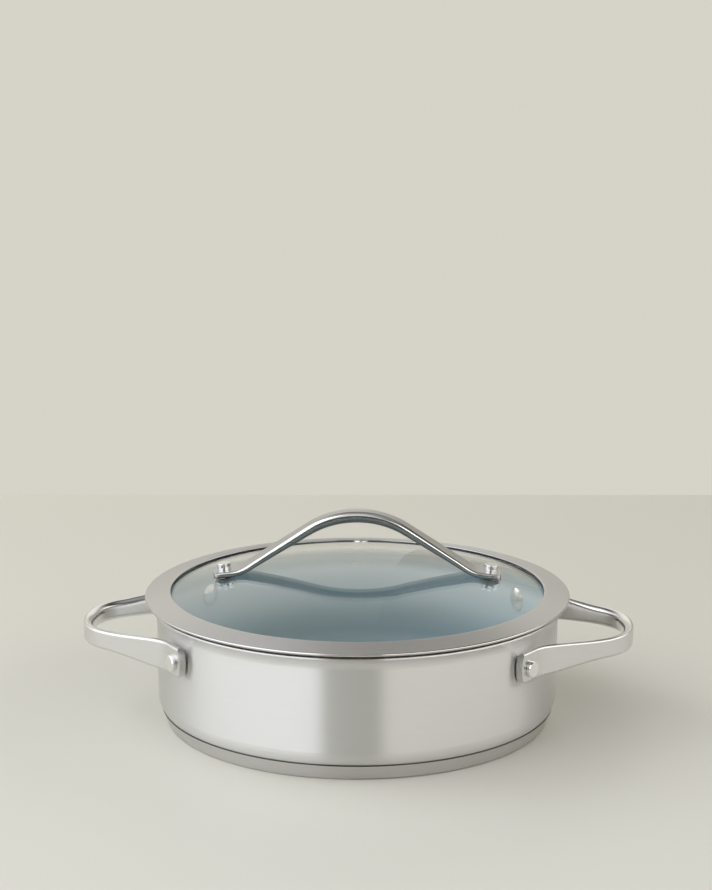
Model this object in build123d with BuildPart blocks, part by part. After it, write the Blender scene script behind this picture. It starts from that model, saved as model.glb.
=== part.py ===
from build123d import *
import math
import os

# A low two-handled braiser with a domed glass lid, in millimetres.
# The origin is the centre of the base on the table, +Z is up and the side handles lie along X.

# Pan body
pan_radius = 121.0
pan_wall = 0.8
pan_height = 73.25
corner_radius = 12.6
flare_reach = 4.4
flare_angle = 64.0
coating_thickness = 0.3
coating_drop = 0.9

# Base
cap_thickness = 0.6
core_thickness = 3.8
seam_height = 9.0
seam_gap = 0.25
seam_depth = 0.8
cap_flare = 3.4
foot_radius = 1.4

# Side handles: a strap with a flat outside and a rounded inside
handle_reach = 45.6
grip_bow_radius = 61.0
grip_bow_angle = 11.6
handle_corner_radius = 35.0
leg_angle = 34.3
ear_bend_radius = 30.0
ear_thickness = 4.8
ear_height = 18.2
ear_overlap = 8.6
ear_corner = 5.0
ear_corner_run = 0.3
ear_end_radius = 18.0
ear_trim = 1.0
ear_fit = 0.4
ear_gap = 0.7
ear_gap_length = 2.4
grip_height = 11.6
grip_depth = 6.0
grip_edge = 1.6
handle_drop = 19.75
grip_back_share = 0.25
ear_back_share = 0.36
strap_sections = 49

# Side handle rivets
rivet_inset = 5.75
rivet_drop = 1.1
rivet_shank_radius = 2.5
rivet_head_radius = 4.8
rivet_head_height = 2.3
rivet_head_edge = 0.5
rivet_dome_radius = 7.2
rivet_dome_height = 2.2
rivet_dome_rim = 0.5
rivet_clearance = 0.05

# Lid band
lid_overhang = 7.0
lid_sheet = 0.8
band_slope = 10.2
bead_radius = 0.9
band_width = 13.8
lip_lean = 1.2
lip_height = 1.7
lip_gap = 0.85
lip_bend = 0.7
channel_overhang = 0.4
channel_reach = 8.0
channel_bend = 0.7
seat_clearance = 0.3
lid_turn = 1.7
glass_clearance = 0.05

# Lid glass
dome_radius = 400.0
glass_thickness = 4.0
glass_edge_gap = 0.25
glass_hole_clearance = 0.4

# Lid handle: a flat-topped arched strap that widens and thins towards its ends
stud_distance = 80.5
handle_end = 6.0
pad_tilt = 5.0
pad_depth = 3.3
pad_width = 19.0
pad_edge = 1.4
pad_corner = 4.0
arch_height = 37.0
arch_slope = 33.7
arch_radius = 56.0
arch_depth = 7.2
arch_width = 12.6
arch_edge = 3.2
knee_radius = 20.0
pad_back_share = 0.88
arch_back_share = 0.25
arch_sections = 41

# Lid handle fixings
gasket_thickness = 0.7
gasket_radius = 4.0
bolt_head_radius = 4.0
bolt_head_height = 3.8
bolt_head_edge = 0.4
bolt_radius = 2.4
bolt_clearance = 0.05
washer_radius = 6.5
washer_thickness = 1.6
nut_radius = 4.5
nut_height = 4.0
nut_edge = 1.0

# Steam vent
vent_inset = 8.0
vent_bore_radius = 1.9
vent_barrel_radius = 3.0
vent_flange_radius = 4.8
vent_flange = 0.7
vent_clearance = 0.1
vent_seat = 0.05

overrun = 20.0

# Sizes that follow from the ones above
floor_bottom = cap_thickness + core_thickness
lining_radius = pan_radius - pan_wall
inner_radius = lining_radius - coating_thickness
grip_reach = pan_radius + handle_reach
grip_centre_height = pan_height - handle_drop
rivet_height = grip_centre_height - rivet_drop
flare = math.radians(flare_angle)
flare_radius = flare_reach / (1 - math.cos(flare))
flare_centre = pan_radius + flare_radius
flare_start = pan_height - pan_wall * math.sin(flare) - flare_radius * math.sin(flare)
lid_radius = pan_radius + lid_overhang
crest_radius = lid_radius - band_width
lip_radius = crest_radius - lip_lean
vent_distance = lip_radius - vent_inset
slope_tangent = math.tan(math.radians(band_slope))

# The lid rests by the outer corner of its channel on the inside of the flare, which sets its height
channel_radius = pan_radius + channel_overhang
under_radius = dome_radius - glass_thickness
channel_sphere = under_radius - lid_sheet / 2 - glass_clearance
glass_radius = channel_radius - lid_sheet / 2 - glass_edge_gap
seat_distance = flare_radius + pan_wall + seat_clearance + lid_sheet / 2 + channel_bend
seat_reach = flare_centre - channel_radius + channel_bend
seat_height = flare_start + math.sqrt(seat_distance ** 2 - seat_reach ** 2)
channel_half_corner = (math.pi / 2 - math.asin(channel_radius / channel_sphere)) / 2
channel_foot = seat_height - channel_bend / math.tan(channel_half_corner)
dome_centre = channel_foot - math.sqrt(channel_sphere ** 2 - channel_radius ** 2)


def half_width(height, radius):
    """Half the chord of a circle at a height above its lowest point."""
    return math.sqrt(radius ** 2 - (radius - height) ** 2)


def dome_height(radius, sphere=dome_radius):
    """Height of a sphere about the dome's centre, at a distance from the pan's axis."""
    return dome_centre + math.sqrt(sphere ** 2 - radius ** 2)


crest_height = dome_height(lip_radius) + lip_height - lid_sheet / 2


def band_height(radius):
    """Mid height of the lid's sloping band."""
    return crest_height - (radius - crest_radius) * slope_tangent


def smooth(share):
    """An easing curve from 0 to 1."""
    share = min(max(share, 0), 1)
    return share * share * (3 - 2 * share)


def between(start, end, share):
    return start + (end - start) * share


def strap_section(plane, width, depth, edge, back_half):
    """A strap's section: a flat face with rounded edges over a rounded back, below the plane's X axis."""
    half = width / 2
    flat_half = half - edge
    back_reach = half - back_half
    with BuildSketch(plane) as section:
        with BuildLine():
            Line((-flat_half, 0), (flat_half, 0))
            CenterArc((flat_half, -edge), edge, 90, -90)
            EllipticalCenterArc((back_half, -edge), back_reach, depth - edge, 0, arc_size=-90)
            Line((back_half, -depth), (-back_half, -depth))
            EllipticalCenterArc((-back_half, -edge), back_reach, depth - edge, -90, arc_size=-90)
            CenterArc((-flat_half, -edge), edge, 180, -90)
        make_face()
    return section.sketch


# Pan shell: floor, rounded corner, wall and flared pouring rim
with BuildPart() as pan_shell:
    with BuildSketch(Plane.XZ):
        with BuildLine():
            FilletPolyline(
                (0, floor_bottom),
                (pan_radius, floor_bottom),
                (pan_radius, flare_start),
                radius=corner_radius,
            )
            CenterArc((flare_centre, flare_start), flare_radius, 180, -flare_angle)
            offset(amount=pan_wall, side=Side.LEFT)
        make_face()
    revolve(axis=Axis.Z)

# Ceramic coating on the floor, the wall and the flare, up to just below the lid's seat
seat_angle = math.degrees(math.acos(seat_reach / seat_distance))
coating_angle = seat_angle - math.degrees(coating_drop / flare_radius)
with BuildPart() as ceramic_coating:
    with BuildSketch(Plane.XZ):
        with BuildLine():
            FilletPolyline(
                (0, floor_bottom + pan_wall),
                (lining_radius, floor_bottom + pan_wall),
                (lining_radius, flare_start),
                radius=corner_radius - pan_wall,
            )
            CenterArc((flare_centre, flare_start), flare_radius + pan_wall, 180, -coating_angle)
            offset(amount=coating_thickness, side=Side.LEFT)
        make_face()
    revolve(axis=Axis.Z)

# Base cap: a shallow cup whose lip stands just off the pan at the seam
seam_radius = pan_radius - corner_radius + half_width(seam_height - floor_bottom, corner_radius)
cap_lip_radius = seam_radius + seam_gap + cap_thickness
cap_outline = ((0, 0), (cap_lip_radius - cap_flare, 0), (cap_lip_radius, seam_height))
with BuildPart() as base_cap:
    with BuildSketch(Plane.XZ):
        with BuildLine():
            FilletPolyline(*cap_outline, radius=foot_radius)
            offset(amount=cap_thickness, side=Side.LEFT)
        make_face()
    revolve(axis=Axis.Z)

# Aluminium core between the cap and the pan's underside
core_top = seam_height - seam_depth
with BuildPart() as base_core:
    with BuildSketch(Plane.XZ):
        with BuildLine():
            cap_line = FilletPolyline(*cap_outline, radius=foot_radius)
            Line(cap_line @ 1, (0, seam_height))
            Line((0, seam_height), (0, 0))
        make_face()
        with Locations((cap_lip_radius / 2, core_top + overrun / 2)):
            Rectangle(cap_lip_radius + overrun, overrun, mode=Mode.SUBTRACT)
    revolve(axis=Axis.Z)
    with BuildSketch(Plane.XZ):
        with BuildLine():
            FilletPolyline(
                (0, floor_bottom),
                (pan_radius, floor_bottom),
                (pan_radius, pan_height),
                radius=corner_radius,
            )
            Line((pan_radius, pan_height), (0, pan_height))
            Line((0, pan_height), (0, floor_bottom))
        make_face()
    revolve(axis=Axis.Z, mode=Mode.SUBTRACT)
    add(base_cap.part, mode=Mode.SUBTRACT)


# Side handle outline: grip arc, corner arc, straight leg, ear bend and an ear along the wall
ear_radius = pan_radius + ear_thickness
bow = math.radians(grip_bow_angle)
leg = math.radians(leg_angle)
corner_centre_x = grip_reach - grip_bow_radius + (grip_bow_radius - handle_corner_radius) * math.cos(bow)
corner_centre_y = (grip_bow_radius - handle_corner_radius) * math.sin(bow)
leg_out_x = corner_centre_x + handle_corner_radius * math.sin(leg)
leg_out_y = corner_centre_y + handle_corner_radius * math.cos(leg)
bend_line_x = leg_out_x + ear_bend_radius * math.sin(leg)
bend_line_y = leg_out_y + ear_bend_radius * math.cos(leg)
bend_along = bend_line_y * math.sin(leg) - bend_line_x * math.cos(leg)
bend_offset = bend_line_x ** 2 + bend_line_y ** 2 - (ear_radius + ear_bend_radius) ** 2
leg_length = -bend_along - math.sqrt(bend_along ** 2 - bend_offset)
bend_x = bend_line_x - leg_length * math.cos(leg)
bend_y = bend_line_y + leg_length * math.sin(leg)
bend_azimuth = math.degrees(math.atan2(bend_y, bend_x))
ear_start_x = ear_radius * math.cos(math.radians(bend_azimuth))
leg_in_x = leg_out_x - leg_length * math.cos(leg)
leg_in_y = leg_out_y + leg_length * math.sin(leg)
rivet_angle = bend_azimuth + math.degrees(rivet_inset / ear_radius)
ear_end_angle = rivet_angle + math.degrees(ear_overlap / ear_radius)
strap_end_angle = ear_end_angle + math.degrees(ear_trim / ear_radius)
gap_start = math.radians(ear_end_angle) - ear_gap_length / ear_radius
corner_y = ear_corner - ear_height / 2 - ear_corner_run
corner_x = math.sqrt((ear_end_radius - ear_corner) ** 2 - corner_y ** 2) - ear_end_radius
corner_turn = math.degrees(math.atan2(-corner_y, corner_x + ear_end_radius))
with BuildLine(Plane.XY.offset(grip_centre_height)) as strap_line:
    CenterArc((grip_reach - grip_bow_radius, 0), grip_bow_radius, 0, grip_bow_angle)
    CenterArc(
        (corner_centre_x, corner_centre_y),
        handle_corner_radius,
        grip_bow_angle,
        90 - leg_angle - grip_bow_angle,
    )
    Line((leg_out_x, leg_out_y), (leg_in_x, leg_in_y))
    CenterArc((bend_x, bend_y), ear_bend_radius, 270 - leg_angle, bend_azimuth + leg_angle - 90)
    CenterArc((0, 0), ear_radius, bend_azimuth, strap_end_angle - bend_azimuth)
    mirror(about=Plane.XZ)
strap_wire = strap_line.wires()[0]
strap_direction = 1 if (strap_wire @ 0).Y < 0 else -1


def hole_plane(azimuth):
    """A plane on the pan's axis at rivet height that faces out along an azimuth."""
    turn = math.radians(azimuth)
    return Plane(origin=(0, 0, rivet_height), z_dir=(math.cos(turn), math.sin(turn), 0))


def ear_end_plane(side):
    """A plane on the ear's outer face at its end, with local X pointing off the end and local Y up."""
    turn = math.radians(side * ear_end_angle)
    return Plane(
        origin=(ear_radius * math.cos(turn), ear_radius * math.sin(turn), grip_centre_height),
        x_dir=(-side * math.sin(turn), side * math.cos(turn), 0),
        z_dir=(side * math.cos(turn), side * math.sin(turn), 0),
    )


def side_strap_section(share):
    """The side handle's section at a share of its length: tall at the ears, lower at the grip."""
    point = strap_wire @ share
    along = (strap_wire % share) * strap_direction
    ear_share = smooth((leg_out_x - point.X) / (leg_out_x - ear_start_x))
    height = between(grip_height, ear_height, ear_share)
    depth = between(grip_depth, ear_thickness + ear_fit, ear_share)
    back_half = between(grip_height * grip_back_share, ear_height * ear_back_share, ear_share) / 2
    plane = Plane(origin=point, x_dir=(0, 0, 1), z_dir=along)
    return strap_section(plane, height, depth, grip_edge, back_half)


# Right side handle: a strap lofted along its outline and cut to the wall, with a gap behind each ear's end.
# The end is a flat arc with a rounded lower corner
with BuildPart() as right_side_handle:
    loft(sections=[side_strap_section(step / (strap_sections - 1)) for step in range(strap_sections)])
    Cylinder(pan_radius, pan_height * 4, mode=Mode.SUBTRACT)
    with BuildSketch(Plane.XY):
        Circle(pan_radius + ear_gap)
        with BuildLine():
            Polyline(
                (0, 0),
                (grip_reach * math.cos(gap_start), grip_reach * math.sin(gap_start)),
                (grip_reach * math.cos(gap_start), -grip_reach * math.sin(gap_start)),
                close=True,
            )
        make_face(mode=Mode.SUBTRACT)
    extrude(amount=pan_height, mode=Mode.SUBTRACT)
    for side in (-1, 1):
        with BuildSketch(ear_end_plane(side)):
            with BuildLine():
                end_arc = CenterArc((-ear_end_radius, 0), ear_end_radius, -corner_turn, 90 + corner_turn)
                corner_arc = CenterArc((corner_x, corner_y), ear_corner, -90, 90 - corner_turn)
                Polyline(
                    end_arc @ 1,
                    (overrun, ear_end_radius),
                    (overrun, -ear_end_radius),
                    (corner_x, -ear_end_radius),
                    corner_arc @ 0,
                )
            make_face()
        extrude(amount=ear_thickness * 2, both=True, mode=Mode.SUBTRACT)
        with BuildSketch(hole_plane(side * rivet_angle)):
            Circle(rivet_shank_radius + rivet_clearance)
        extrude(amount=grip_reach, mode=Mode.SUBTRACT)

# Left side handle: the right one turned half round
with BuildPart() as left_side_handle:
    add(right_side_handle.part.rotate(Axis.Z, 180))

# Rivet holes in the pan and its coating
rivet_azimuths = [side * rivet_angle + turn for turn in (0, 180) for side in (-1, 1)]
for body in (pan_shell, ceramic_coating):
    with body:
        for azimuth in rivet_azimuths:
            with BuildSketch(hole_plane(azimuth)):
                Circle(rivet_shank_radius + rivet_clearance)
            extrude(amount=grip_reach, mode=Mode.SUBTRACT)

# Rivets: a low wide dome inside, a shank through wall and ear, and a small proud head outside
dome_seat = math.sqrt(inner_radius ** 2 - rivet_dome_radius ** 2) - rivet_clearance
dome_rim = dome_seat - rivet_dome_rim
dome_tip = dome_rim - rivet_dome_height
dome_sphere = (rivet_dome_radius ** 2 + rivet_dome_height ** 2) / (2 * rivet_dome_height)
dome_sweep = math.degrees(math.asin(rivet_dome_radius / dome_sphere))
head_seat = ear_radius + rivet_clearance
head_end = head_seat + rivet_head_height


def rivet_pair(centre_azimuth):
    """The two rivets of one side handle."""
    with BuildPart() as pair:
        for side in (-1, 1):
            turn = math.radians(centre_azimuth + side * rivet_angle)
            outward = Vector(math.cos(turn), math.sin(turn), 0)
            sideways = Vector(math.sin(turn), -math.cos(turn), 0)
            plane = Plane(origin=(0, 0, rivet_height), x_dir=outward, z_dir=sideways)
            with BuildSketch(plane):
                with BuildLine():
                    Line((dome_tip, 0), (head_end, 0))
                    Line((head_end, 0), (head_end, rivet_head_radius - rivet_head_edge))
                    Line(
                        (head_end, rivet_head_radius - rivet_head_edge),
                        (head_end - rivet_head_edge, rivet_head_radius),
                    )
                    Line((head_end - rivet_head_edge, rivet_head_radius), (head_seat, rivet_head_radius))
                    Line((head_seat, rivet_head_radius), (head_seat, rivet_shank_radius))
                    Line((head_seat, rivet_shank_radius), (dome_seat, rivet_shank_radius))
                    Line((dome_seat, rivet_shank_radius), (dome_seat, rivet_dome_radius))
                    Line((dome_seat, rivet_dome_radius), (dome_rim, rivet_dome_radius))
                    CenterArc((dome_tip + dome_sphere, 0), dome_sphere, 180, -dome_sweep)
                make_face()
            revolve(axis=Axis((0, 0, rivet_height), outward))
    return pair


right_handle_rivets = rivet_pair(0)
left_handle_rivets = rivet_pair(180)

# Lid band: rolled outer bead, sloping band, flat lip just over the glass, channel round the glass edge
bead_centre = lid_radius - bead_radius
bead_height = band_height(bead_centre) + lid_sheet / 2 - bead_radius
lip_end = dome_height(lip_radius) + lip_gap + lid_sheet / 2
channel_end = channel_radius - channel_reach
with BuildPart() as lid_rim:
    with BuildSketch(Plane.XZ):
        with BuildLine():
            FilletPolyline(
                (bead_centre, band_height(bead_centre)),
                (crest_radius, band_height(crest_radius)),
                (lip_radius, lip_end),
                radius=lip_bend,
            )
            offset(amount=lid_sheet / 2, side=Side.BOTH)
        make_face()
        with BuildLine():
            FilletPolyline(
                (channel_radius, band_height(channel_radius)),
                (channel_radius, channel_foot),
                (channel_end, dome_height(channel_end, channel_sphere)),
                radius=channel_bend,
            )
            offset(amount=lid_sheet / 2, side=Side.BOTH)
        make_face()
        with Locations((bead_centre, bead_height)):
            Circle(bead_radius)
    revolve(axis=Axis.Z)


pad_top = dome_height(stud_distance) + gasket_thickness + pad_depth


def fixing_plane(side):
    """A plane on the top of the lid handle's flat end, square to it, at the fixing."""
    tilt = math.radians(pad_tilt)
    return Plane(origin=(side * stud_distance, 0, pad_top), z_dir=(side * math.sin(tilt), 0, math.cos(tilt)))


# Lid glass: a shallow dome with two fixing holes and a vent hole
vent_tilt = math.asin(vent_distance / dome_radius)
vent_plane = Plane(
    origin=(0, vent_distance, dome_height(vent_distance)),
    x_dir=(1, 0, 0),
    z_dir=(0, math.sin(vent_tilt), math.cos(vent_tilt)),
)
glass_angle = math.degrees(math.asin(glass_radius / dome_radius))
under_angle = math.degrees(math.asin(glass_radius / under_radius))
with BuildPart() as lid_glass:
    with BuildSketch(Plane.XZ):
        with BuildLine():
            top_line = CenterArc((0, dome_centre), dome_radius, 90, -glass_angle)
            under_line = CenterArc((0, dome_centre), under_radius, 90, -under_angle)
            Line(top_line @ 1, under_line @ 1)
            Line(top_line @ 0, under_line @ 0)
        make_face()
    revolve(axis=Axis.Z)
    for side in (-1, 1):
        with BuildSketch(fixing_plane(side)):
            Circle(bolt_radius + glass_hole_clearance)
        extrude(amount=-overrun, mode=Mode.SUBTRACT)
    with BuildSketch(vent_plane):
        Circle(vent_barrel_radius + vent_clearance)
    extrude(amount=overrun, both=True, mode=Mode.SUBTRACT)

# Lid handle: the line of its flat top, from one end over the arch to the other
pad_tangent = math.tan(math.radians(pad_tilt))
arch_tangent = math.tan(math.radians(arch_slope))
peak = pad_top + arch_height + arch_radius * (1 / math.cos(math.radians(arch_slope)) - 1)
handle_half = stud_distance + handle_end
end_top = pad_top - handle_end * pad_tangent
knee = (peak - pad_top - stud_distance * pad_tangent) / (arch_tangent - pad_tangent)
knee_top = peak - knee * arch_tangent
with BuildLine(Plane.XZ) as arch_line:
    FilletPolyline(
        (-handle_half, end_top),
        (-knee, knee_top),
        (0, peak),
        (knee, knee_top),
        (handle_half, end_top),
        radius=(knee_radius, arch_radius, knee_radius),
    )
arch_wire = arch_line.wires()[0]


def arch_section(share):
    """The lid handle's section at a share of its length."""
    point = arch_wire @ share
    rise = smooth(1 - abs(point.X) / stud_distance)
    width = between(pad_width, arch_width, rise)
    depth = between(pad_depth, arch_depth, rise)
    edge = between(pad_edge, arch_edge, rise)
    back_half = between(pad_width * pad_back_share, arch_width * arch_back_share, rise) / 2
    plane = Plane(origin=point, x_dir=(0, 1, 0), z_dir=arch_wire % share)
    return strap_section(plane, width, depth, edge, back_half)


with BuildPart() as lid_handle:
    loft(sections=[arch_section(step / (arch_sections - 1)) for step in range(arch_sections)])
    with BuildSketch(Plane.XY):
        RectangleRounded(handle_half * 2, pad_width, pad_corner)
    extrude(amount=pad_top + arch_height + overrun, mode=Mode.INTERSECT)
    for side in (-1, 1):
        with BuildSketch(fixing_plane(side)):
            Circle(bolt_radius + bolt_clearance)
        extrude(amount=-overrun, both=True, mode=Mode.SUBTRACT)

# Lid fixings: bolts through handle, gasket and glass, with washers and cap nuts under the glass
washer_seat = pad_depth + gasket_thickness + glass_thickness
nut_seat = washer_seat + washer_thickness
nut_end = nut_seat + nut_height
bolt_end = nut_end - nut_edge
with BuildPart() as lid_handle_bolts:
    for side in (-1, 1):
        with BuildSketch(fixing_plane(side).offset(bolt_clearance)):
            Circle(bolt_head_radius)
        extrude(amount=bolt_head_height)
        with BuildSketch(fixing_plane(side).offset(bolt_clearance)):
            Circle(bolt_radius)
        extrude(amount=-bolt_end)
    top_faces = lid_handle_bolts.faces().filter_by(GeomType.PLANE).sort_by(Axis.Z)[-2:]
    fillet(top_faces.edges(), bolt_head_edge)

with BuildPart() as lid_handle_gaskets:
    for side in (-1, 1):
        with BuildSketch(fixing_plane(side).offset(-pad_depth / 2)):
            Circle(gasket_radius)
            Circle(bolt_radius + bolt_clearance, mode=Mode.SUBTRACT)
        extrude(amount=-pad_depth - gasket_thickness)
    with Locations((0, 0, dome_centre)):
        Sphere(dome_radius, mode=Mode.SUBTRACT)
    add(lid_handle.part, mode=Mode.SUBTRACT)

with BuildPart() as lid_handle_washers:
    for side in (-1, 1):
        with BuildSketch(fixing_plane(side).offset(-nut_seat)):
            Circle(washer_radius)
            Circle(bolt_radius + bolt_clearance, mode=Mode.SUBTRACT)
        extrude(amount=washer_thickness + glass_thickness / 2)
    with Locations((0, 0, dome_centre)):
        Sphere(under_radius, mode=Mode.INTERSECT)

with BuildPart() as lid_handle_nuts:
    for side in (-1, 1):
        with BuildSketch(fixing_plane(side).offset(-nut_end)):
            Circle(nut_radius)
        extrude(amount=nut_height)
    low_faces = lid_handle_nuts.faces().filter_by(GeomType.PLANE).sort_by(Axis.Z)[:2]
    fillet(low_faces.edges(), nut_edge)
    for side in (-1, 1):
        with BuildSketch(fixing_plane(side).offset(-bolt_end - bolt_clearance)):
            Circle(bolt_radius + bolt_clearance)
        extrude(amount=nut_height + washer_thickness, mode=Mode.SUBTRACT)

# Vent eyelet: a barrel through the glass with a flange on each face
with BuildPart() as vent_eyelet:
    with BuildSketch(vent_plane.offset(vent_flange)):
        Circle(vent_barrel_radius)
    extrude(amount=-glass_thickness - 2 * vent_flange - vent_seat)
    for level in (0, -glass_thickness - vent_flange - vent_seat):
        with BuildSketch(vent_plane.offset(level)):
            Circle(vent_flange_radius)
        extrude(amount=vent_flange)
    outer_edges = vent_eyelet.edges().filter_by(GeomType.CIRCLE).group_by(SortBy.RADIUS)[-1]
    fillet(outer_edges.group_by(Axis.Z)[-1], vent_flange / 2)
    with BuildSketch(vent_plane):
        Circle(vent_bore_radius)
    extrude(amount=overrun, both=True, mode=Mode.SUBTRACT)

pan_pieces = {
    "pan_shell": pan_shell,
    "ceramic_coating": ceramic_coating,
    "base_core": base_core,
    "base_cap": base_cap,
    "right_side_handle": right_side_handle,
    "left_side_handle": left_side_handle,
    "right_handle_rivets": right_handle_rivets,
    "left_handle_rivets": left_handle_rivets,
}
lid_pieces = {
    "lid_glass": lid_glass,
    "lid_rim": lid_rim,
    "lid_handle": lid_handle,
    "lid_handle_bolts": lid_handle_bolts,
    "lid_handle_gaskets": lid_handle_gaskets,
    "lid_handle_washers": lid_handle_washers,
    "lid_handle_nuts": lid_handle_nuts,
    "vent_eyelet": vent_eyelet,
}

# The loose lid lies on the pan turned a little round its axis
for piece in lid_pieces.values():
    piece.part = piece.part.rotate(Axis.Z, lid_turn)

os.makedirs("parts", exist_ok=True)
for label, piece in (pan_pieces | lid_pieces).items():
    piece.part.label = label
    export_step(piece.part, f"parts/{label}.step")
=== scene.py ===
import math

import bpy
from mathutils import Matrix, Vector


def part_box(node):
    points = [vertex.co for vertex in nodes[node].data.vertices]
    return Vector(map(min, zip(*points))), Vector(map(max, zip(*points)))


# A low two-handled braiser with a domed glass lid, on a pale floor in a soft daylight studio.
# Lengths are in metres and angles in degrees. The camera stands in front, a little to the right.
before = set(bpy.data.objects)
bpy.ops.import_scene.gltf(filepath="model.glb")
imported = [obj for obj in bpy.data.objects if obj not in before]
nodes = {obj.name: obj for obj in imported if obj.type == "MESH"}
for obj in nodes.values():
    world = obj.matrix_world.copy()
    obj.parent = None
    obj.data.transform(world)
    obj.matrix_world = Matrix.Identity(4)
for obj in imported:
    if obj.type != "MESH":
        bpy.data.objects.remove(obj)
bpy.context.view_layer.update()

# Camera
view_distance = 1.1933
view_height = 0.4160
view_azimuth = 3.0
view_heading = 3.039
view_pitch = 11.802
focal_pixels = 2044.03
photo_height = 890
sensor = 36.0

# Floor
floor_back = 0.580
floor_reach = 4.0
floor_front = -0.45
floor_roughness = 0.5

# Colours, linear
black = (0, 0, 0)
# Painted light and shade on the floor: lighter towards the camera, darker and warmer towards the back
floor_back_shade_colour = (0.56, 0.545, 0.475)
floor_front_light_colour = (0.66, 0.655, 0.60)
backdrop_colour = (0.67, 0.655, 0.575)
steel_colour = (0.74, 0.737, 0.73)
dark_steel_colour = (0.62, 0.61, 0.60)
bright_steel_colour = (0.88, 0.88, 0.88)
satin_colour = (0.52, 0.52, 0.51)
# Painted shade and a painted reflection of the shaded floor, on the faces of the lid handle that look down
underside_shade_colour = (0.42, 0.34, 0.29)
ceramic_colour = (0.30, 0.42, 0.48)
glass_colour = (0.96, 0.98, 0.97)
gasket_colour = (0.80, 0.82, 0.82)

# The studio round the pan. Azimuth is 0 towards the camera and grows to its right, and elevation is 0 at the
# horizon. Each part fades in from the first number of an edge to the second, and covers the parts before it.
room_colour = (0.08, 0.078, 0.07)
studio = {
    "ceiling": {
        "colour": (0.38, 0.38, 0.37),
        "bottom": (50, 66),
    },
    "front high": {
        "colour": (0.85, 0.85, 0.84),
        "left": (-95, -75),
        "right": (30, -5),
        "bottom": (18, 36),
        "top": (72, 60),
    },
    "backdrop left": {
        "colour": (0.68, 0.67, 0.61),
        "right": (-105, -135),
        "top": (50, 32),
    },
    "backdrop right": {
        "colour": (0.46, 0.445, 0.39),
        "left": (115, 150),
        "top": (50, 32),
    },
    "back glow left": {
        "colour": (1.05, 1.03, 0.96),
        "right": (-145, -165),
        "bottom": (12, 20),
        "top": (40, 28),
    },
    "back glow right": {
        "colour": (1.05, 1.03, 0.96),
        "left": (145, 165),
        "bottom": (12, 20),
        "top": (40, 28),
    },
    "left window": {
        "colour": (1.92, 1.95, 2.01),
        "left": (-150, -85),
        "right": (-18, -22),
        "top": (74, 58),
    },
    "right window": {
        "colour": (2.28, 2.23, 2.14),
        "left": (13.2, 14.8),
        "right": (150, 95),
        "bottom": (2, 18),
        "top": (46, 30),
    },
    "below": {
        "colour": (0.62, 0.60, 0.53),
        "top": (0, -2),
    },
}

# Key lamp
key_place = (-1.25, 0.35, 1.25)
key_size = 1.3
key_power = 9.0

# Brushed steel. Contrast is how much darker the grain's lines are, and grain_depth is how deep they look.
grain_per_metre = 2600.0
grain_along = 9.0
grain_scale = 1.0
grain_detail = 3.0
grain_gloss = 0.08
grain_bump = 0.3
highlight_turn = 0.25
wall_finish = {"roughness": 0.33, "anisotropy": 1.0, "grain_depth": 0.00002, "contrast": 0.06}
base_finish = {"roughness": 0.32, "anisotropy": 0.9, "grain_depth": 0.00003, "contrast": 0.08}
band_finish = {"roughness": 0.42, "anisotropy": 0.8, "grain_depth": 0.00003, "contrast": 0.08}

# A rolled edge's roughness is multiplied by rolled_polish where it leans. Its level part keeps the full
# roughness, and starts at the first number of the normal's Z and is complete at the second.
rolled_polish = 0.3
level_edge = (0.90, 0.97)

# Painted shade: a dark line painted where the base's cup meets the wall, full up to the first distance and
# gone at the second
seam_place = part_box("base_cap")[1][2]
seam_edge = (0.00025, 0.0005)
seam_shade = 0.3

# Strap steel. The satin face, and the faces clear of the underside's painted shade, start at the first
# number and are complete at the second. loop_outward is the way out of a side handle's loop at its right
# back corner, and arch_slope is taken off the normal's Z on the lid's handle.
side_satin = {"colour": steel_colour, "roughness": 0.3}
side_polish = {"colour": steel_colour, "roughness": 0.1}
arch_satin = {"colour": satin_colour, "roughness": 0.3}
arch_polish = {"colour": steel_colour, "roughness": 0.12}
satin_edge = (0.42, 0.56)
underside_shade_edge = (-0.5, -0.15)
strap_contrast = 0.06
strap_gloss = 0.04
loop_outward = (0.6, 0.8, 0)
arch_slope = 0.28

# Other steel and aluminium
speckle_scale = 900.0
plain_contrast = 0.07
plain_gloss = 0.06
rivet_roughness = 0.09
washer_roughness = 0.25
core_roughness = 0.5

# Ceramic
ceramic_roughness = 0.28
ceramic_contrast = 0.05
ceramic_scale = 60.0

# Clear pieces. clear_tint is the share of a lamp's light that each surface lets straight through.
clear_index = 1.5
clear_tint = (0.9, 0.92, 0.91)
glass_roughness = 0.0
gasket_roughness = 0.2


def node(tree, kind, **settings):
    """A new shader node with these settings."""
    made = tree.nodes.new(kind)
    for name, value in settings.items():
        setattr(made, name, value)
    return made


def feed(tree, socket, value):
    """Gives a socket a number, a vector, a colour or another node's output."""
    if isinstance(value, bpy.types.NodeSocket):
        tree.links.new(value, socket)
    else:
        socket.default_value = value


def maths(tree, operation, *values):
    """The result of one operation on numbers."""
    made = node(tree, "ShaderNodeMath", operation=operation)
    for socket, value in zip(made.inputs, values):
        feed(tree, socket, value)
    return made.outputs["Value"]


def vector_maths(tree, operation, *values):
    """The result of one operation on vectors, which is a number for a dot product or a length."""
    made = node(tree, "ShaderNodeVectorMath", operation=operation)
    for socket, value in zip(made.inputs, values):
        feed(tree, socket, value)
    return made.outputs["Value" if operation in ("DOT_PRODUCT", "LENGTH") else "Vector"]


def ramp(tree, value, start, end, low=0.0, high=1.0):
    """A smooth step from low at start to high at end."""
    made = node(tree, "ShaderNodeMapRange", interpolation_type="SMOOTHSTEP")
    feed(tree, made.inputs["Value"], value)
    made.inputs["From Min"].default_value = start
    made.inputs["From Max"].default_value = end
    made.inputs["To Min"].default_value = low
    made.inputs["To Max"].default_value = high
    return made.outputs["Result"]


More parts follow.
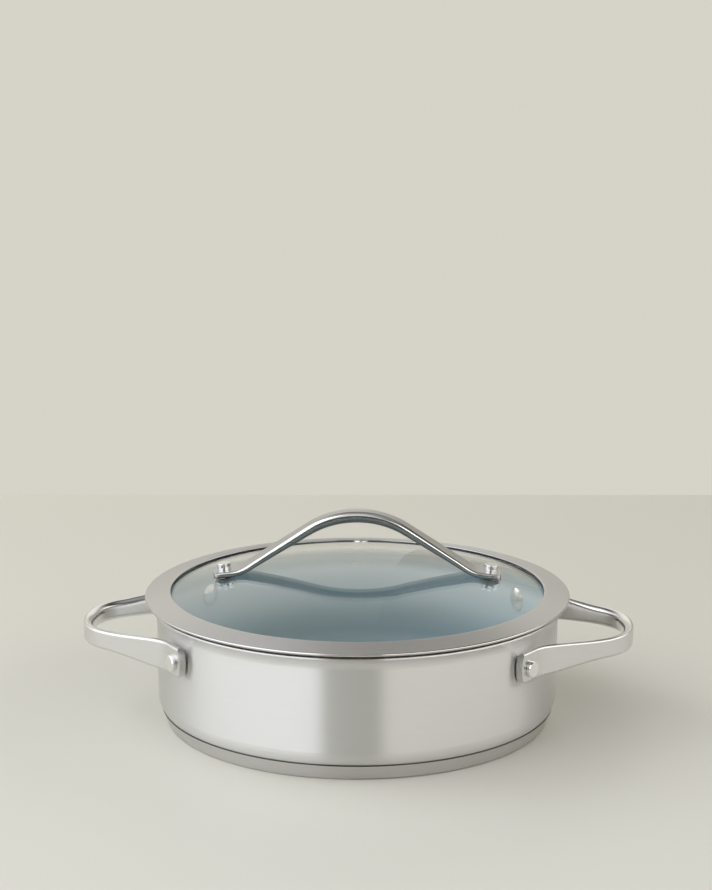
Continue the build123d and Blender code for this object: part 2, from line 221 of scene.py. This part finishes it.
def blend(tree, factor, first, second):
    """A colour between two others, linear and unclamped."""
    made = node(tree, "ShaderNodeMix", data_type="RGBA")
    colours = [socket for socket in made.inputs if socket.type == "RGBA"]
    feed(tree, made.inputs[0], factor)
    for socket, colour in zip(colours, (first, second)):
        feed(tree, socket, colour if isinstance(colour, bpy.types.NodeSocket) else (*colour, 1.0))
    return [socket for socket in made.outputs if socket.type == "RGBA"][0]


def darker(colour, share):
    """A colour with this share of its brightness taken away."""
    return tuple(channel * (1 - share) for channel in colour)


def split(tree, vector):
    """The three parts of a vector."""
    apart = node(tree, "ShaderNodeSeparateXYZ")
    tree.links.new(vector, apart.inputs[0])
    return apart.outputs["X"], apart.outputs["Y"], apart.outputs["Z"]


def join(tree, x, y, z):
    """A vector from its three parts."""
    made = node(tree, "ShaderNodeCombineXYZ")
    for socket, value in zip(made.inputs, (x, y, z)):
        feed(tree, socket, value)
    return made.outputs[0]


def place_of(tree):
    """A point's place in its object's own axes, which for a CAD node are the frame's."""
    return node(tree, "ShaderNodeTexCoord").outputs["Object"]


def normal_of(tree):
    """The way a face looks, as a vector of length 1."""
    return node(tree, "ShaderNodeNewGeometry").outputs["Normal"]


def noise(tree, place, scale, detail=2.0):
    """Cloudy noise between 0 and 1."""
    made = node(tree, "ShaderNodeTexNoise")
    tree.links.new(place, made.inputs["Vector"])
    made.inputs["Scale"].default_value = scale
    made.inputs["Detail"].default_value = detail
    return made.outputs["Fac"]


def new_material(name):
    """A new node material, its tree and its main shader."""
    made = bpy.data.materials.new(name)
    made.use_nodes = True
    return made, made.node_tree, made.node_tree.nodes["Principled BSDF"]


def paint(material, *names):
    """Gives a material to every slot of these CAD nodes."""
    for name in names:
        for slot in nodes[name].material_slots:
            slot.material = material


def place_camera():
    """The photograph's viewing angle and frame."""
    camera = bpy.data.objects.new("camera", bpy.data.cameras.new("camera"))
    bpy.context.scene.collection.objects.link(camera)
    azimuth = math.radians(view_azimuth)
    camera.location = (view_distance * math.sin(azimuth), -view_distance * math.cos(azimuth), view_height)
    camera.rotation_euler = (math.radians(90 - view_pitch), 0, math.radians(view_heading))
    camera.data.sensor_width = sensor
    camera.data.lens = focal_pixels * sensor / photo_height
    bpy.context.scene.camera = camera


def make_floor():
    """A pale floor that ends in a straight edge behind the pan, square to the camera."""
    mesh = bpy.data.meshes.new("floor")
    corners = [
        (-floor_reach, -floor_reach, 0),
        (floor_reach, -floor_reach, 0),
        (floor_reach, floor_back, 0),
        (-floor_reach, floor_back, 0),
    ]
    mesh.from_pydata(corners, [], [(0, 1, 2, 3)])
    floor = bpy.data.objects.new("floor", mesh)
    bpy.context.scene.collection.objects.link(floor)
    floor.rotation_euler = (0, 0, math.radians(view_azimuth))
    made, tree, shader = new_material("floor_matt")
    _, depth, _ = split(tree, place_of(tree))
    # Painted light and shade: the floor's colour is lighter towards the camera and darker towards the back
    painted_light_falloff = ramp(tree, depth, floor_front, floor_back)
    tree.links.new(blend(tree, painted_light_falloff, floor_front_light_colour, floor_back_shade_colour), shader.inputs["Base Color"])
    shader.inputs["Roughness"].default_value = floor_roughness
    mesh.materials.append(made)


def make_world():
    """Daylight from a window on each side, a pale backdrop with two glows, a grey ceiling and a dark room in
    front with a pale patch high up. What is seen directly or through glass is the plain backdrop."""
    world = bpy.data.worlds.new("studio")
    bpy.context.scene.world = world
    world.use_nodes = True
    tree = world.node_tree
    x, y, z = split(tree, node(tree, "ShaderNodeTexCoord").outputs["Generated"])
    azimuth = maths(tree, "ARCTAN2", x, maths(tree, "MULTIPLY", y, -1.0))
    azimuth = maths(tree, "MULTIPLY", azimuth, math.degrees(1))
    azimuth = maths(tree, "SUBTRACT", azimuth, view_azimuth)
    elevation = maths(tree, "MULTIPLY", maths(tree, "ARCSINE", z), math.degrees(1))
    edges = {"left": azimuth, "right": azimuth, "top": elevation, "bottom": elevation}
    colour = room_colour
    for part in studio.values():
        inside = 1.0
        for edge, angle in edges.items():
            if edge in part:
                inside = maths(tree, "MULTIPLY", inside, ramp(tree, angle, *part[edge]))
        colour = blend(tree, inside, colour, part["colour"])
    rays = node(tree, "ShaderNodeLightPath")
    seen = maths(tree, "MAXIMUM", rays.outputs["Is Camera Ray"], rays.outputs["Is Transmission Ray"])
    colour = blend(tree, seen, colour, backdrop_colour)
    tree.links.new(colour, tree.nodes["Background"].inputs["Color"])


def make_key_light():
    """A broad soft lamp from the left, a little behind, which casts the shadow to the right."""
    lamp = bpy.data.lights.new("key", "AREA")
    lamp.shape = "SQUARE"
    lamp.size = key_size
    lamp.energy = key_power
    key = bpy.data.objects.new("key", lamp)
    bpy.context.scene.collection.objects.link(key)
    key.location = key_place
    key.rotation_euler = (-key.location).to_track_quat("-Z", "Y").to_euler()
    key.visible_glossy = False


def round_grain(tree):
    """Fine lines round the pan's axis, and the direction that they run in."""
    x, y, z = split(tree, place_of(tree))
    flat = join(tree, x, y, 0)
    radius = vector_maths(tree, "LENGTH", flat)
    outward = vector_maths(tree, "NORMALIZE", flat)
    slow = vector_maths(tree, "MULTIPLY", outward, (grain_along, grain_along, 0))
    across = maths(tree, "MULTIPLY", maths(tree, "ADD", radius, z), grain_per_metre)
    grain_place = vector_maths(tree, "ADD", slow, join(tree, 0, 0, across))
    lines = noise(tree, grain_place, grain_scale, grain_detail)
    along = vector_maths(tree, "CROSS_PRODUCT", (0, 0, 1), flat)
    return lines, vector_maths(tree, "NORMALIZE", along)


def off_seam(tree):
    """1 away from the base's seam, and seam_shade on it, where shade is painted in the seam's groove."""
    _, _, height = split(tree, place_of(tree))
    distance = maths(tree, "ABSOLUTE", maths(tree, "SUBTRACT", height, seam_place))
    return ramp(tree, distance, *seam_edge, seam_shade, 1.0)


def level(tree):
    """1 where a face looks straight up or down, and 0 where it leans."""
    _, _, z = split(tree, normal_of(tree))
    return ramp(tree, maths(tree, "ABSOLUTE", z), *level_edge)


def brushed_round(name, colour, roughness, anisotropy, grain_depth, contrast, rolled=False):
    """Steel that was brushed while it turned, with painted shade at the base's seam. Rolled edges stay
    polished.
    """
    made, tree, shader = new_material(name)
    grain, along = round_grain(tree)
    shader.inputs["Metallic"].default_value = 1.0
    shader.inputs["Anisotropic"].default_value = anisotropy
    shader.inputs["Anisotropic Rotation"].default_value = highlight_turn
    tree.links.new(along, shader.inputs["Tangent"])
    brushed = blend(tree, grain, darker(colour, contrast), colour)
    # Painted shade at the base's seam darkens the brushed colour towards black
    tree.links.new(blend(tree, off_seam(tree), black, brushed), shader.inputs["Base Color"])
    rough = maths(tree, "MULTIPLY_ADD", grain, grain_gloss, roughness - grain_gloss / 2)
    if rolled:
        rough = maths(tree, "MULTIPLY", rough, ramp(tree, level(tree), 0.0, 1.0, rolled_polish, 1.0))
    tree.links.new(rough, shader.inputs["Roughness"])
    bump = node(tree, "ShaderNodeBump")
    bump.inputs["Strength"].default_value = grain_bump
    bump.inputs["Distance"].default_value = grain_depth
    tree.links.new(grain, bump.inputs["Height"])
    tree.links.new(bump.outputs["Normal"], shader.inputs["Normal"])
    return made


def strap_steel(name, facing, satin, polished, underside_shade):
    """Steel strap with one satin face, which is chosen by its normal, and painted shade in its own colour on
    the faces that look down.
    """
    made, tree, shader = new_material(name)
    shader.inputs["Metallic"].default_value = 1.0
    speckle = noise(tree, place_of(tree), speckle_scale)
    face = ramp(tree, facing(tree), *satin_edge)
    _, _, z = split(tree, normal_of(tree))
    # Painted shade: faces that look down take the underside's shade colour
    clear_of_shade = ramp(tree, z, *underside_shade_edge)
    colour = blend(tree, face, polished["colour"], satin["colour"])
    colour = blend(tree, clear_of_shade, underside_shade, colour)
    colour = blend(tree, speckle, colour, blend(tree, strap_contrast, colour, black))
    tree.links.new(colour, shader.inputs["Base Color"])
    rough = ramp(tree, face, 0.0, 1.0, polished["roughness"], satin["roughness"])
    rough = maths(tree, "SUBTRACT", rough, strap_gloss / 2)
    rough = maths(tree, "MULTIPLY_ADD", speckle, strap_gloss, rough)
    tree.links.new(rough, shader.inputs["Roughness"])
    return made


def outward_facing(tree):
    """How far a side handle's face looks away from the inside of its loop."""
    x, y, _ = split(tree, place_of(tree))
    away = join(tree, maths(tree, "SIGN", x), maths(tree, "SIGN", y), 0)
    away = vector_maths(tree, "MULTIPLY", away, loop_outward)
    return vector_maths(tree, "DOT_PRODUCT", normal_of(tree), away)


def upward_facing(tree):
    """How far a face looks up, counted from the slope of the arch."""
    _, _, z = split(tree, normal_of(tree))
    return maths(tree, "SUBTRACT", z, arch_slope)


def plain_steel(name, colour, roughness):
    """Steel with a fine speckle in its colour and gloss."""
    made, tree, shader = new_material(name)
    shader.inputs["Metallic"].default_value = 1.0
    speckle = noise(tree, place_of(tree), speckle_scale)
    dark = darker(colour, plain_contrast)
    tree.links.new(blend(tree, speckle, dark, colour), shader.inputs["Base Color"])
    rough = maths(tree, "MULTIPLY_ADD", speckle, plain_gloss, roughness - plain_gloss / 2)
    tree.links.new(rough, shader.inputs["Roughness"])
    return made


def ceramic():
    """The smooth lining, with a faint mottle."""
    made, tree, shader = new_material("ceramic")
    speckle = noise(tree, place_of(tree), ceramic_scale)
    dark = darker(ceramic_colour, ceramic_contrast)
    tree.links.new(blend(tree, speckle, dark, ceramic_colour), shader.inputs["Base Color"])
    shader.inputs["Roughness"].default_value = ceramic_roughness
    return made


def clear_glass(name, colour, roughness):
    """Clear glass or plastic, which lets lamps and soft light straight through to what it covers."""
    made, tree, shader = new_material(name)
    shader.inputs["Base Color"].default_value = (*colour, 1.0)
    shader.inputs["Transmission Weight"].default_value = 1.0
    shader.inputs["Roughness"].default_value = roughness
    shader.inputs["IOR"].default_value = clear_index
    through = node(tree, "ShaderNodeBsdfTransparent")
    through.inputs["Color"].default_value = (*clear_tint, 1.0)
    rays = node(tree, "ShaderNodeLightPath")
    passing = maths(tree, "MAXIMUM", rays.outputs["Is Shadow Ray"], rays.outputs["Is Diffuse Ray"])
    choice = node(tree, "ShaderNodeMixShader")
    tree.links.new(passing, choice.inputs[0])
    tree.links.new(shader.outputs[0], choice.inputs[1])
    tree.links.new(through.outputs[0], choice.inputs[2])
    tree.links.new(choice.outputs[0], tree.nodes["Material Output"].inputs["Surface"])
    return made


place_camera()
make_floor()
make_world()
make_key_light()

# Brushed pieces
paint(brushed_round("wall_steel", steel_colour, **wall_finish), "pan_shell")
paint(brushed_round("base_steel", dark_steel_colour, **base_finish), "base_cap")
paint(brushed_round("band_steel", dark_steel_colour, **band_finish, rolled=True), "lid_rim")

# Handles
side_steel = strap_steel("side_handle_steel", outward_facing, side_satin, side_polish, steel_colour)
paint(side_steel, "left_side_handle", "right_side_handle")
# The arch's underside gets painted shade and a painted reflection of the shaded floor
arch_steel = strap_steel("lid_handle_steel", upward_facing, arch_satin, arch_polish, underside_shade_colour)
paint(arch_steel, "lid_handle")

# Fasteners, vent and core
rivet_steel = plain_steel("rivet_steel", bright_steel_colour, rivet_roughness)
paint(rivet_steel, "left_handle_rivets", "right_handle_rivets", "lid_handle_bolts", "lid_handle_nuts")
paint(plain_steel("washer_steel", steel_colour, washer_roughness), "lid_handle_washers", "vent_eyelet")
paint(plain_steel("core_aluminium", steel_colour, core_roughness), "base_core")

# Lining and clear pieces
paint(ceramic(), "ceramic_coating")
paint(clear_glass("lid_glass", glass_colour, glass_roughness), "lid_glass")
paint(clear_glass("clear_gasket", gasket_colour, gasket_roughness), "lid_handle_gaskets")

bpy.context.scene.view_settings.view_transform = "Standard"
